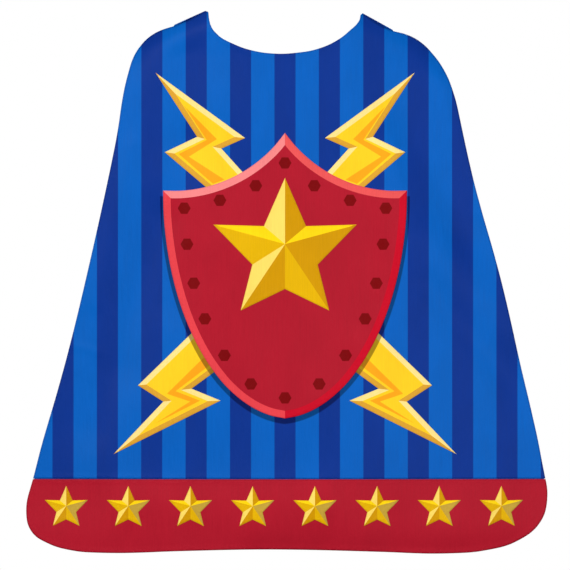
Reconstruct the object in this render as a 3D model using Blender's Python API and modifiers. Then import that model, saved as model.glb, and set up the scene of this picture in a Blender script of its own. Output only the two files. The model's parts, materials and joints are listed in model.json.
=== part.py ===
"""A child's satin dress-up cape with a printed front, a lining and two neck tabs.

Metres, +Z up. The origin is the centre-back neck point, at the lowest point of the neckline.
The wearer stands on the +Y side, so the printed side faces -Y and +X is the wearer's right.
The cape hangs open: the tabs are turned over the shoulder folds and hang inside it.

Each cloth piece is cut flat, as an outline filled with a grid of bend lines, and then laid on
the hanging shape. Flat pieces have x across, y up and z out of the cloth, all in metres.
"""

import math

import bmesh
import bpy
import numpy as np

MM = 0.001

# The hanging shape of the body of the cape, in metres.
FALL = 0.645  # nape to hem
HEM_FLARE = 0.040  # how far the middle of the hem stands off the wearer
FLARE_POWER = 1.2
WRAP_HEM = 0.42  # how strongly the sides come forward, depth over width squared
WRAP_NAPE = 0.78
WRAP_FADE = 0.20
SHOULDER_TOP = 0.0545  # height of the shoulder folds at the neck
SHOULDER_REACH = 0.098  # half the width of the neckline there
SHOULDER_SLOPE = 0.38
SHOULDER_DROP = 1.0  # how fast the shoulder line steepens towards the arm
ROLL = 0.016  # how far the cloth rolls forward at the top of the shoulder
ROLL_FADE = 0.016

# Cloth layers, as heights out of the lining's inner face.
SHEET = 0.0006
PATCH = 0.0005
GAP = 0.0004
SHELL_LOW = SHEET + GAP
EMBLEM_LOW = SHELL_LOW + SHEET + GAP
SHIELD_LOW = EMBLEM_LOW + PATCH + GAP
STAR_LOW = SHIELD_LOW + PATCH + GAP
BEND_GRID = 0.030

# Outline of the body, in millimetres, anticlockwise as seen from behind the wearer.
LEFT_HORN = (-99.0, 56.0)
LEFT_KINK = (-144.3, 35.6)
LEFT_SIDE = [
    (-160.3, 30.5), (-174.0, 23.0), (-187.5, 9.5), (-196.3, -5.2), (-201.5, -21.0),
    (-208.0, -47.0), (-217.4, -106.0), (-229.0, -163.0), (-257.5, -292.0),
    (-283.4, -397.5), (-325.6, -549.0), (-334.4, -592.0), (-327.5, -617.5),
    (-306.0, -632.8), (-275.0, -641.8), (-243.5, -644.6),
]
HEM = [(-120.0, -642.0), (-20.0, -640.3), (110.0, -643.0)]
RIGHT_SIDE = [
    (213.0, -645.5), (260.6, -641.4), (300.3, -629.5), (329.4, -606.0),
    (338.9, -576.0), (333.5, -534.0), (303.3, -397.5), (279.2, -292.4),
    (243.7, -163.3), (228.2, -93.5), (218.1, -51.3), (205.8, -21.2),
    (188.2, 3.2), (174.8, 15.7), (159.0, 24.3),
]
RIGHT_KINK = (139.7, 29.4)
RIGHT_HORN = (97.1, 52.9)
NECKLINE = [
    (97.0, 45.5), (92.2, 37.6), (85.0, 31.0), (70.4, 19.1), (43.8, 6.6), (14.1, 1.0),
    (-14.0, 0.0), (-43.8, 4.4), (-65.1, 11.9), (-87.7, 24.8), (-95.5, 35.5),
    (-98.2, 46.0),
]
BAND_TOP = -549.4  # where the border band is joined on
SEAM_GAP = 0.5
SIDE_MARGIN = 30.0  # the band's and shell's cutting lines run this far past the outline

# Emblem, in millimetres.
SHIELD_TIP = -102.5
SHIELD_CORNER = (157.6, -177.0)
SHIELD_SCOOP_CENTRE = (144.8, 0.0)
SHIELD_SCOOP_RADIUS = 177.5
SHIELD_SIDE_CENTRE = (-10.3, -176.2)
SHIELD_SIDE_RADII = (168.0, 295.5)
# The right half of the star, from its top point to its bottom notch, about the point where
# its facets meet.
STAR_HALF = [
    (0.0, 85.7), (27.2, 23.3), (92.6, 25.2), (42.2, -26.5), (57.2, -85.8), (0.0, -58.0),
]
CENTRE_STAR = (0.0, -246.2)
HEM_STAR_SCALE = 0.302
HEM_STAR_COUNT = 8
HEM_STAR_PITCH = 80.3
HEM_STAR_MIDDLE = (-1.5, -584.2)
# The bolts on the right side. The inner end of each runs about 10 mm under the shield.
UPPER_BOLT = [
    (167.6, -24.4), (51.5, -109.2), (82.1, -122.8), (45.4, -163.5),
    (93.8, -179.7), (155.4, -127.4), (113.7, -107.5),
]
LOWER_BOLT = [
    (111.8, -352.6), (189.9, -428.6), (157.2, -449.6), (221.4, -517.4),
    (83.2, -448.2), (120.6, -432.8), (80.7, -403.6),
]

# Neck tabs, in metres. Each leaves its shoulder fold, rolls over and hangs inside the cape.
TAB_WIDTH = 0.038
TAB_OFFSET = 0.005  # towards the arm, so that the neckline hides the tab
TAB_LENGTH = 0.100  # along its middle line
TAB_CURVE = 0.120  # radius of the middle line
TAB_END_RADIUS = 0.018
TAB_START = 0.0020  # clear of the fold, so that the tab can turn
TAB_BEND_RADIUS = 0.030
TAB_LEAVES = math.radians(45.0)  # below level, at the fold
TAB_HANGS = math.radians(87.0)
TAB_GRID = 0.008
TAB_LAYER = 0.0005
TAB_PITCH = 0.0008  # from the middle of one layer to the next
FOLD_HEIGHT = 0.0008  # the hinge line lies at the middle of the body's two layers
CLOSURE = (0.040, 0.022)
CLOSURE_THICKNESS = 0.0010
CLOSURE_END = 0.012  # from the closure's end to the tab's end
CLOSURE_GRID = 0.008

LABEL = (0.026, 0.038)
LABEL_TOP = -0.004
LABEL_HIGH = -0.0005  # in front of the lining, on the wearer's side

NAVY = (0.004, 0.033, 0.258)
BLUE = (0.002, 0.112, 0.491)
RED = (0.423, 0.009, 0.024)
GOLD = (0.752, 0.445, 0.010)
YELLOW = (1.0, 0.610, 0.016)
WHITE = (0.80, 0.80, 0.78)
BLACK = (0.020, 0.020, 0.022)


def clear_scene():
    for obj in list(bpy.data.objects):
        bpy.data.objects.remove(obj, do_unlink=True)


def new_collection(name):
    collection = bpy.data.collections.new(name)
    bpy.context.scene.collection.children.link(collection)
    return collection


def cloth_material(name, colour, roughness):
    material = bpy.data.materials.new(name)
    material.use_nodes = True
    shader = material.node_tree.nodes["Principled BSDF"]
    shader.inputs["Base Color"].default_value = (*colour, 1.0)
    shader.inputs["Roughness"].default_value = roughness
    shader.inputs["Metallic"].default_value = 0.0
    return material


# Hanging shape


def back_depth(x, z):
    """How far forward the lining's inner face lies at a point of the cape."""
    fall = max(0.0, -z)
    flare = HEM_FLARE * (fall / FALL) ** FLARE_POWER
    wrap = WRAP_HEM + (WRAP_NAPE - WRAP_HEM) * math.exp(-fall / WRAP_FADE)
    past_neck = abs(x) - SHOULDER_REACH
    shoulder = SHOULDER_TOP - SHOULDER_SLOPE * past_neck - SHOULDER_DROP * past_neck**2
    roll = ROLL * math.exp((z - shoulder) / ROLL_FADE)
    return wrap * x * x + roll - flare


def hang(point):
    """A flat point (x, height, out of the cloth) where it lies on the hanging cape."""
    return (point[0], back_depth(point[0], point[1]) - point[2], point[1])


class Fold:
    """A shoulder fold: the straight line on which a neck tab turns."""

    def __init__(self, horn, kink):
        ends = [np.array(hang((x * MM, z * MM, FOLD_HEIGHT))) for x, z in (horn, kink)]
        self.middle = (ends[0] + ends[1]) / 2
        across = ends[0] - ends[1]
        self.towards_neck = across / np.linalg.norm(across)
        self.forward = np.array((0.0, 1.0, 0.0))
        self.forward -= self.towards_neck * self.towards_neck[1]
        self.forward /= np.linalg.norm(self.forward)
        self.upward = np.cross(self.towards_neck, self.forward)
        if self.upward[2] < 0:
            self.upward = -self.upward

    def turn_over(self, point):
        """A flat tab point (towards the neck, away from the fold, out) on the hanging tab."""
        along, away, out = point
        bend = min(away / TAB_BEND_RADIUS, TAB_HANGS - TAB_LEAVES)
        angle = TAB_LEAVES + bend
        straight = away - bend * TAB_BEND_RADIUS
        ahead = TAB_BEND_RADIUS * (math.sin(angle) - math.sin(TAB_LEAVES))
        ahead += straight * math.cos(angle) + out * math.sin(angle)
        drop = TAB_BEND_RADIUS * (math.cos(TAB_LEAVES) - math.cos(angle))
        drop += straight * math.sin(angle) - out * math.cos(angle)
        place = self.middle + self.towards_neck * along
        return tuple(place + self.forward * ahead - self.upward * drop)


# Flat cutting


def outline_curve(points, corners, resolution):
    """A closed flat curve through the points, smooth except at the numbered corners."""
    curve = bpy.data.curves.new("outline", "CURVE")
    curve.dimensions = "2D"
    curve.fill_mode = "BOTH"
    curve.resolution_u = resolution
    spline = curve.splines.new("BEZIER")
    spline.bezier_points.add(len(points) - 1)
    spline.use_cyclic_u = True
    for number, (place, knot) in enumerate(zip(points, spline.bezier_points)):
        knot.co = (place[0], place[1], 0.0)
        kind = "VECTOR" if number in corners else "AUTO"
        knot.handle_left_type = kind
        knot.handle_right_type = kind
    return curve


def polygon_curve(points):
    """A closed flat curve with straight sides."""
    curve = bpy.data.curves.new("outline", "CURVE")
    curve.dimensions = "2D"
    curve.fill_mode = "BOTH"
    spline = curve.splines.new("POLY")
    spline.points.add(len(points) - 1)
    spline.use_cyclic_u = True
    for place, knot in zip(points, spline.points):
        knot.co = (place[0], place[1], 0.0, 1.0)
    return curve


def solid_mesh(obj):
    """The evaluated object as a mesh with its seams welded."""
    bpy.context.view_layer.update()
    graph = bpy.context.evaluated_depsgraph_get()
    mesh = bpy.data.meshes.new_from_object(obj.evaluated_get(graph))
    work = bmesh.new()
    work.from_mesh(mesh)
    bmesh.ops.remove_doubles(work, verts=work.verts, dist=1e-6)
    work.to_mesh(mesh)
    work.free()
    return mesh


def temporary(name, data):
    obj = bpy.data.objects.new(name, data)
    bpy.context.scene.collection.objects.link(obj)
    return obj


def cut_flat(curve, low, high, grid):
    """The curve's shape between two heights, with bend lines a grid apart on both faces."""
    curve.extrude = 2 * (high - low)
    drawn = temporary("outline", curve)
    cutter = temporary("cutter", solid_mesh(drawn))
    cutter.location.z = (low + high) / 2
    corners = np.array([vertex.co for vertex in cutter.data.vertices])
    first = np.floor(corners.min(axis=0) / grid - 0.5)
    cells = np.ceil(corners.max(axis=0) / grid + 0.5) - first
    bpy.ops.mesh.primitive_grid_add(
        x_subdivisions=int(cells[0]), y_subdivisions=int(cells[1]), size=1
    )
    plate = bpy.context.object
    plate.scale = (cells[0] * grid, cells[1] * grid, 1)
    bpy.ops.object.transform_apply(location=False, rotation=False, scale=True)
    middle = (first + cells / 2) * grid
    plate.location = (middle[0], middle[1], low)
    bpy.ops.object.transform_apply(location=True, rotation=False, scale=False)
    thicken = plate.modifiers.new("thickness", "SOLIDIFY")
    thicken.thickness = high - low
    thicken.offset = 1
    cut = plate.modifiers.new("cut", "BOOLEAN")
    cut.operation = "INTERSECT"
    cut.solver = "EXACT"
    cut.object = cutter
    mesh = solid_mesh(plate)
    for obj in (plate, cutter, drawn):
        bpy.data.objects.remove(obj, do_unlink=True)
    return mesh


def make_piece(name, mesh, place, origin, material, collection, parent=None):
    """Moves each point of the flat mesh with place, and sets the object's origin."""
    work = bmesh.new()
    work.from_mesh(mesh)
    bmesh.ops.triangulate(work, faces=work.faces)
    for vertex in work.verts:
        vertex.co = np.array(place(vertex.co)) - np.array(origin)
    bmesh.ops.recalc_face_normals(work, faces=work.faces)
    work.to_mesh(mesh)
    work.free()
    mesh.name = name
    mesh.materials.clear()
    mesh.materials.append(material)
    obj = bpy.data.objects.new(name, mesh)
    collection.objects.link(obj)
    if parent is None:
        obj.location = origin
    else:
        obj.parent = parent
    return obj


# Outlines


def in_metres(points):
    return [(x * MM, z * MM) for x, z in points]


def mirrored(points):
    return [(-x, z) for x, z in points]


def body_outline():
    points = [LEFT_HORN, LEFT_KINK, *LEFT_SIDE, *HEM, *RIGHT_SIDE, RIGHT_KINK, RIGHT_HORN]
    corners = {0, 1, len(points) - 2, len(points) - 1}
    return outline_curve(in_metres(points + NECKLINE), corners, 4)


def half_plane(above):
    """A rectangle over or under the band seam, wide enough to take in the whole cape."""
    side = max(abs(x) for x, _ in LEFT_SIDE + RIGHT_SIDE) + SIDE_MARGIN
    if above:
        low, high = BAND_TOP + SEAM_GAP / 2, LEFT_HORN[1] + SIDE_MARGIN
    else:
        low, high = -FALL / MM - SIDE_MARGIN, BAND_TOP - SEAM_GAP / 2
    return in_metres([(-side, low), (side, low), (side, high), (-side, high)])


def keep_part(mesh, points):
    """What of a flat mesh lies inside the polygon."""
    curve = polygon_curve(points)
    curve.extrude = 4 * STAR_LOW
    drawn = temporary("outline", curve)
    cutter = temporary("cutter", solid_mesh(drawn))
    sheet = temporary("sheet", mesh)
    cut = sheet.modifiers.new("cut", "BOOLEAN")
    cut.operation = "INTERSECT"
    cut.solver = "EXACT"
    cut.object = cutter
    kept = solid_mesh(sheet)
    for obj in (sheet, cutter, drawn):
        bpy.data.objects.remove(obj, do_unlink=True)
    return kept


def arc(centre, radii, start, end, steps):
    """Points on an ellipse from one angle to another, in radians."""
    angles = np.linspace(start, end, steps + 1)
    return [
        (centre[0] + radii[0] * math.cos(a), centre[1] + radii[1] * math.sin(a))
        for a in angles
    ]


def shield_outline():
    """Two scooped top edges that meet in a tip, and two sides that meet at the bottom."""
    scoop, radius = SHIELD_SCOOP_CENTRE, SHIELD_SCOOP_RADIUS
    tip = math.atan2(SHIELD_TIP - scoop[1], -scoop[0])
    corner = math.atan2(SHIELD_CORNER[1] - scoop[1], SHIELD_CORNER[0] - scoop[0])
    top = arc(scoop, (radius, radius), tip + math.tau, corner + math.tau, 8)
    side, radii = SHIELD_SIDE_CENTRE, SHIELD_SIDE_RADII
    bottom = -math.acos(-side[0] / radii[0])
    right = top + arc(side, radii, 0.0, bottom, 14)[1:]
    return right + mirrored(right[1:-1])[::-1]


def star_outline(centre, scale):
    """A five-pointed star with one point up."""
    points = STAR_HALF + mirrored(STAR_HALF[1:-1])[::-1]
    return [(centre[0] + x * scale, centre[1] + z * scale) for x, z in points]


def tab_outline(start, end, half_width, end_radius):
    """A band that curves towards the neck, with round corners at its far end."""
    ring = (TAB_CURVE - TAB_OFFSET, 0.0)
    outer, inner = TAB_CURVE + half_width, TAB_CURVE - half_width
    first, last = start / TAB_CURVE, end / TAB_CURVE
    turn = end_radius / TAB_CURVE

    def at(radius, angle):
        return (ring[0] - radius * math.cos(angle), radius * math.sin(angle))

    points = [at(outer, a) for a in np.linspace(first, last - turn, 8)]
    for quarter in np.linspace(0, math.pi / 2, 4)[1:]:
        reach = last - turn * (1 - math.sin(quarter))
        points.append(at(outer - end_radius * (1 - math.cos(quarter)), reach))
    for quarter in np.linspace(math.pi / 2, 0, 4)[:-1]:
        reach = last - turn * (1 - math.sin(quarter))
        points.append(at(inner + end_radius * (1 - math.cos(quarter)), reach))
    points += [at(inner, a) for a in np.linspace(last - turn, first, 8)]
    return points


# The cape


def make_body(materials, collection):
    """The lining, and the shell and border band that are seamed together over it."""
    origin = (0.0, 0.0, 0.0)
    lining = cut_flat(body_outline(), 0.0, SHEET, BEND_GRID)
    make_piece("lining_panel", lining, hang, origin, materials["lining"], collection)
    for name, above in (("shell_panel", True), ("border_band", False)):
        whole = cut_flat(body_outline(), SHELL_LOW, SHELL_LOW + SHEET, BEND_GRID)
        part = keep_part(whole, half_plane(above))
        make_piece(name, part, hang, origin, materials[name], collection)


def make_patch(name, points, low, material, collection):
    """A piece of the emblem, bonded on over whatever lies under it."""
    flat = cut_flat(polygon_curve(in_metres(points)), low, low + PATCH, BEND_GRID)
    make_piece(name, flat, hang, (0.0, 0.0, 0.0), material, collection)


def make_emblem(materials, collection):
    bolts = {
        "upper_left_bolt_patch": mirrored(UPPER_BOLT),
        "upper_right_bolt_patch": UPPER_BOLT,
        "lower_left_bolt_patch": mirrored(LOWER_BOLT),
        "lower_right_bolt_patch": LOWER_BOLT,
    }
    for name, points in bolts.items():
        make_patch(name, points, EMBLEM_LOW, materials["bolt"], collection)
    make_patch("shield_patch", shield_outline(), SHIELD_LOW, materials["shield"], collection)
    star = star_outline(CENTRE_STAR, 1.0)
    make_patch("centre_star_patch", star, STAR_LOW, materials["star"], collection)


def make_hem_stars(materials, collection):
    """A row of small stars along the border band."""
    first = HEM_STAR_MIDDLE[0] - HEM_STAR_PITCH * (HEM_STAR_COUNT - 1) / 2
    for number in range(HEM_STAR_COUNT):
        centre = (first + number * HEM_STAR_PITCH, HEM_STAR_MIDDLE[1])
        star = star_outline(centre, HEM_STAR_SCALE)
        name = f"hem_star_patch_{number + 1}"
        make_patch(name, star, EMBLEM_LOW, materials["star"], collection)


def make_tab(side, fold, facing_side, materials, collection):
    """A neck tab of three layers with its closure, turning about its shoulder fold."""
    hinge = bpy.data.objects.new(f"{side}_tab_fold", None)
    hinge.location = fold.middle
    collection.objects.link(hinge)
    layers = {
        f"{side}_tab_facing": (-TAB_PITCH, 0.0, "lining"),
        f"{side}_tab_interfacing": (0.0, 0.003, "interfacing"),
        f"{side}_tab_shell": (TAB_PITCH, 0.0, "shell_panel"),
    }
    for name, (middle, trim, slot) in layers.items():
        half, end_radius = TAB_WIDTH / 2 - trim, TAB_END_RADIUS - trim
        outline = tab_outline(TAB_START + trim, TAB_LENGTH - trim, half, end_radius)
        low, high = middle - TAB_LAYER / 2, middle + TAB_LAYER / 2
        flat = cut_flat(polygon_curve(outline), low, high, TAB_GRID)
        make_piece(
            name, flat, fold.turn_over, fold.middle, materials[slot], collection, hinge
        )
    end = TAB_LENGTH - CLOSURE_END
    outline = tab_outline(end - CLOSURE[0], end, CLOSURE[1] / 2, 0.003)
    face = TAB_PITCH + TAB_LAYER / 2 + GAP
    if facing_side:
        name, low, high = "hook_patch", -face - CLOSURE_THICKNESS, -face
    else:
        name, low, high = "loop_patch", face, face + CLOSURE_THICKNESS
    flat = cut_flat(polygon_curve(outline), low, high, CLOSURE_GRID)
    make_piece(
        name, flat, fold.turn_over, fold.middle, materials[name], collection, hinge
    )


def make_label(materials, collection):
    """A blank label caught in the neckline seam, lying on the lining."""
    width, height = LABEL
    sides = [(-width / 2, LABEL_TOP - height), (width / 2, LABEL_TOP - height)]
    points = sides + [(x, LABEL_TOP) for x, _ in reversed(sides)]
    flat = cut_flat(polygon_curve(points), LABEL_HIGH - PATCH, LABEL_HIGH, BEND_GRID)
    make_piece(
        "care_label", flat, hang, (0.0, 0.0, 0.0), materials["label"], collection
    )


def main():
    clear_scene()
    cape = new_collection("superhero_cape")
    materials = {
        "shell_panel": cloth_material("striped satin", BLUE, 0.45),
        "border_band": cloth_material("red satin", RED, 0.45),
        "lining": cloth_material("blue lining satin", NAVY, 0.5),
        "shield": cloth_material("red emblem satin", RED, 0.45),
        "star": cloth_material("gold emblem satin", GOLD, 0.4),
        "bolt": cloth_material("yellow emblem satin", YELLOW, 0.4),
        "interfacing": cloth_material("white interfacing", WHITE, 0.9),
        "hook_patch": cloth_material("black hook tape", BLACK, 0.7),
        "loop_patch": cloth_material("black loop tape", BLACK, 0.9),
        "label": cloth_material("white label tape", WHITE, 0.6),
    }
    make_body(materials, cape)
    make_emblem(materials, cape)
    make_hem_stars(materials, cape)
    make_label(materials, cape)
    make_tab("left", Fold(LEFT_HORN, LEFT_KINK), False, materials, cape)
    make_tab("right", Fold(RIGHT_HORN, RIGHT_KINK), True, materials, cape)


main()
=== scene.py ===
"""Looks of a child's satin dress-up cape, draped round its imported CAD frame.

Metres, +Z up. The printed side faces -Y and the wearer stands on the +Y side. The outlines of
the cloth pieces are read from the CAD nodes. Each piece is cut flat, in (x, z), filled with
small triangles, and laid on one draped surface, so that every layer follows the same folds.
"""

import json
import math

import bpy
import numpy as np
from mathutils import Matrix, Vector
from mathutils.geometry import delaunay_2d_cdt


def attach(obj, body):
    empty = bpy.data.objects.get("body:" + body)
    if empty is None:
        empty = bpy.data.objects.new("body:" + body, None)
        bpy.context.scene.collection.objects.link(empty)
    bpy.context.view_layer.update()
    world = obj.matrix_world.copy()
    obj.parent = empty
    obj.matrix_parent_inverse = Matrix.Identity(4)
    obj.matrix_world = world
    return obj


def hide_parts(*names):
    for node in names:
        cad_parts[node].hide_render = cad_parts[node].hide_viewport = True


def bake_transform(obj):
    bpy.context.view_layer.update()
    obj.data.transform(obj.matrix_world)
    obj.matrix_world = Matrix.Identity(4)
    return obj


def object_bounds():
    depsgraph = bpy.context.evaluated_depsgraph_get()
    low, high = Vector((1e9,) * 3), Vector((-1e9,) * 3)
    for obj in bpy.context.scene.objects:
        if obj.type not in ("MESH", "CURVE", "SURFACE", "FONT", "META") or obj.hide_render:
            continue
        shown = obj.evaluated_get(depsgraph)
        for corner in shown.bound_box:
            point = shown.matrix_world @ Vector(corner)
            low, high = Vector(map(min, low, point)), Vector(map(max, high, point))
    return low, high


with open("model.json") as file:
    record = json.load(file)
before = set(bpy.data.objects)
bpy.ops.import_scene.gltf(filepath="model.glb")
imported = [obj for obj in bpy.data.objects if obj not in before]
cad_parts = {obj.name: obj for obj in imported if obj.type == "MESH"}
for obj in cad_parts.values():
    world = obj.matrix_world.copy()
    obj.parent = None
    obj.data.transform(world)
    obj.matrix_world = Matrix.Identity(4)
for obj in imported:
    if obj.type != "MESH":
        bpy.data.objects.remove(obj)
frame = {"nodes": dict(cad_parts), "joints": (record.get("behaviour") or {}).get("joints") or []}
cad_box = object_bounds()
MM = 0.001

# The hanging shape, as the CAD has it.
FALL = 0.645
HEM_FLARE, FLARE_POWER = 0.040, 1.2
WRAP_HEM, WRAP_NAPE, WRAP_FADE = 0.42, 0.78, 0.20
SHOULDER_TOP, SHOULDER_REACH = 0.0545, 0.098
SHOULDER_SLOPE, SHOULDER_DROP = 0.38, 1.0
ROLL, ROLL_FADE = 0.016, 0.016
FOLD_HEIGHT = 0.0008

# Soft folds of the body: the line each follows and its half width and height, in millimetres.
# A positive height stands out towards the printed side.
FOLDS = [
    ([(-130, 0), (-167, -200), (-204, -400)], 36, -4.9),
    ([(-117, -120), (-131, -220), (-145, -320)], 36, -3.5),
    ([(-160, -215), (-195, -301), (-225, -413), (-246, -482)], 28, -3.7),
    ([(-97, 20), (-106, -45), (-116, -110)], 36, -3.0),
    ([(-199, -120), (-223, -220), (-247, -320)], 14, 1.5),
    ([(-54, -250), (-60, -350), (-66, -450)], 36, 2.3),
    ([(50, 0), (64, -200), (78, -400)], 36, -3.0),
    ([(94, -120), (105, -220), (116, -320)], 24, -2.2),
    ([(126, 20), (138, -45), (150, -110)], 36, -3.2),
    ([(140, -60), (230, -220)], 28, -3.4),
    ([(140, -120), (157, -220), (174, -320)], 36, 3.1),
    ([(140, -120), (157, -220), (174, -320)], 8, 1.0),
    ([(200, 0), (228, -100), (257, -200)], 24, 4.4),
    ([(180, -230), (290, -350)], 28, 2.8),
    ([(180, -250), (300, -360)], 28, 2.9),
    ([(180, -300), (300, -430)], 18, -2.6),
    ([(244, -250), (269, -350), (295, -450)], 24, -2.0),
    ([(108, -380), (117, -470), (126, -560)], 36, 4.2),
    ([(66, -450), (71, -550), (77, -650)], 36, 3.3),
    ([(-200, -580), (60, -580)], 32, 3.6),
    ([(-330, -620), (-40, -620)], 32, 2.2),
    ([(-40, -650), (330, -650)], 24, -4.2),
    ([(-40, -660), (330, -660)], 34, -3.6),
    ([(-92, 10), (-95, -60), (-90, -130)], 10, 0.8),
    ([(-62, 5), (-66, -70), (-62, -150)], 10, -0.8),
    ([(-30, -2), (-28, -60), (-20, -110)], 9, 0.7),
    ([(-8, -4), (0, -50), (8, -95)], 8, -0.6),
    ([(8, -4), (20, -60), (26, -110)], 8, 0.8),
    ([(40, 2), (50, -50), (55, -120)], 9, -0.7),
    ([(68, 12), (82, -50), (92, -110)], 10, 0.8),
    ([(-292, -372), (-262, -380), (-240, -386)], 5, 0.7),
]
FOLDS_START = 0.045  # the folds grow from nothing at the shoulders to full height this far down
WRINKLE = 0.00035  # typical height of the small wrinkles
WRINKLE_CELL = 0.004
WRINKLE_LONG, WRINKLE_ACROSS = 6.0, 2.5  # their size in cells, down and across
WRINKLE_MARGIN = 0.02  # how far their grid reaches past the CAD box
WRINKLE_SEED = 11

# The shell's face is this high out of the lining's inner face. Patches are bonded on it.
SHELL_FACE, BOND, PATCH_CLOTH = 0.0016, 0.00005, 0.00035
# How far apart the points of a mesh are.
BODY_SPACING, PATCH_SPACING, HEM_STAR_SPACING, FINE_SPACING = 0.0046, 0.0042, 0.0030, 0.0016
CORNER, BOLT_CORNER = 17.0, 8.0  # an outline that turns more than this many degrees has a corner
TINY = 1e-12
EDGE_FAR = 0.02  # distances from a piece's edge are kept up to this far

# Printed pattern, in millimetres.
STRIPE_PERIOD, NAVY_WIDTH = 57.36, 27.25
RIM_WIDTH = 9.6
STUD_RADIUS = 8.4
STUDS = [
    (37.8, -170.8), (84.1, -189.6), (130.2, -199.8), (126.6, -246.3), (117.9, -296.7),
    (103.5, -342.7), (78.2, -389.8), (44.1, -426.7),
]
MIDDLE_STUDS = [(0.0, -141.4), (0.0, -444.7)]
STAR_CENTRE = (0.0, -246.2)
HEM_STAR_DROP = 0.302 * 85.7  # a hem star's facets meet this far below its top point
BEVEL = 6.8
UPPER_BAND = [
    (130.2, -67.8), (101.1, -111.6), (137.2, -129.7), (93.0, -168.3), (78.5, -162.8),
    (124.2, -133.2), (88.0, -110.6),
]
LOWER_BAND = [
    (90.0, -377.9), (152.4, -439.4), (122.4, -449.4), (167.4, -477.8), (109.6, -448.3),
    (141.3, -436.1), (82.0, -391.0),
]
SHADE_STRETCH, SHADE_DROP = 1.022, 7.0  # the printed shade behind the shield
SHIELD_SIDE_CENTRE, SHIELD_SIDE_RADII = (-10.3, -176.2), (168.0, 295.5)
BAND_TOP = -549.4

# Neck tabs.
TAB_CURVE, TAB_OFFSET = 0.120, 0.005
TAB_LENGTH, TAB_END_RADIUS = 0.100, 0.018
TAB_HALF = 0.019
TAB_ROOT_OUTER, TAB_ROOT_INNER, TAB_TAPER = 0.0193, 0.0268, 0.030
TAB_BEND_RADIUS = 0.030
TAB_LEAVES, TAB_HANGS = math.radians(45.0), math.radians(87.0)
FOLD_RADIUS = 0.0014
TAB_SETTLES = 0.016  # how far from the fold the tab's root follows the body's edge
TAB_BLEND = 0.014
TAB_HALF_THICK = 0.0008
TAB_RIPPLE, RIPPLE_AWAY, RIPPLE_ALONG, RIPPLE_GROWS = 0.0012, 0.017, 0.021, 0.030
TAB_SPACING = 0.0028
INTERFACING_START, INTERFACING_TRIM, INTERFACING_CORNER = 0.018, 0.003, 0.014
CLOSURE_SIZE, CLOSURE_END, CLOSURE_CORNER = (0.040, 0.022), 0.012, 0.0025
STITCH_INSET, STITCH_STEP, STITCH_HEIGHT, STITCH_RADIUS = 0.0022, 0.0026, 0.00162, 0.00014
HORN_ROUND, LINING_HORN_ROUND = 0.0022, 0.0036


def srgb(red, green, blue):
    """A linear colour from 0-255 display values."""
    out = []
    for value in (red, green, blue):
        v = value / 255
        out.append(v / 12.92 if v <= 0.04045 else ((v + 0.055) / 1.055) ** 2.4)
    return tuple(out)


NAVY, BLUE = srgb(11, 51, 139), srgb(5, 94, 186)
RED, STUD_RED = srgb(174, 24, 43), srgb(122, 3, 8)
RIM_TONES = {
    "top_left": srgb(245, 135, 135),
    "top_right": srgb(232, 85, 85),
    "left": srgb(228, 65, 73),
    "right": srgb(198, 8, 37),
}
STAR_LIGHT, STAR_BRIGHT = srgb(255, 220, 102), srgb(255, 215, 15)
STAR_MID, STAR_DARK = srgb(226, 176, 2), srgb(207, 149, 0)
STAR_TAN = srgb(195, 160, 60)
BOLT_FACE, BOLT_BAND = srgb(255, 205, 34), srgb(255, 165, 25)
BOLT_CREAM, BOLT_OCHRE = srgb(255, 226, 140), srgb(218, 160, 48)
LINING_BLUE = srgb(8, 58, 150)
SHADED_NAVY, SHADED_BLUE, SHADED_GOLD = srgb(2, 24, 88), srgb(0, 62, 122), srgb(92, 72, 8)
WHITE, LOOP_BLACK = srgb(236, 236, 232), srgb(30, 30, 33)
HOOK_BLACK, THREAD_BLACK = srgb(34, 35, 38), srgb(34, 34, 37)


# The draped surface


def smooth_step(t):
    t = np.clip(t, 0.0, 1.0)
    return t * t * (3 - 2 * t)


def shoulder_height(past_neck):
    """How high the shoulder is, this far past the side of the neck."""
    return SHOULDER_TOP - SHOULDER_SLOPE * past_neck - SHOULDER_DROP * past_neck**2


def back_depth(x, z):
    """How far forward the lining's inner face lies, without its folds, as in the CAD."""
    fall = np.maximum(0.0, -z)
    flare = HEM_FLARE * (fall / FALL) ** FLARE_POWER
    wrap = WRAP_HEM + (WRAP_NAPE - WRAP_HEM) * np.exp(-fall / WRAP_FADE)
    roll = ROLL * np.exp((z - shoulder_height(np.abs(x) - SHOULDER_REACH)) / ROLL_FADE)
    return wrap * x * x + roll - flare


def distance_to_path(x, z, path):
    """How far each point is from a line of straight pieces."""
    best = np.full(np.shape(x), np.inf)
    for (ax, az), (bx, bz) in zip(path, path[1:]):
        dx, dz = bx - ax, bz - az
        t = np.clip(((x - ax) * dx + (z - az) * dz) / (dx * dx + dz * dz + 1e-18), 0, 1)
        best = np.minimum(best, np.hypot(x - ax - t * dx, z - az - t * dz))
    return best


def blurred(grid, cells, axis):
    """The grid smoothed along one axis by a bell curve that many cells wide."""
    reach = int(3 * cells)
    bell = np.exp(-0.5 * (np.arange(-reach, reach + 1) / cells) ** 2)
    bell /= bell.sum()
    return np.apply_along_axis(lambda line: np.convolve(line, bell, mode="same"), axis, grid)


def make_wrinkles():
    """A grid of small soft wrinkles, longer down the cloth than across it."""
    low, high = cad_box
    shape = [int((high[k] - low[k] + 2 * WRINKLE_MARGIN) / WRINKLE_CELL) for k in (0, 2)]
    field = np.random.default_rng(WRINKLE_SEED).standard_normal(shape)
    field = blurred(blurred(field, WRINKLE_ACROSS, 0), WRINKLE_LONG, 1)
    return field * (WRINKLE / field.std())


WRINKLES = make_wrinkles()


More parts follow.
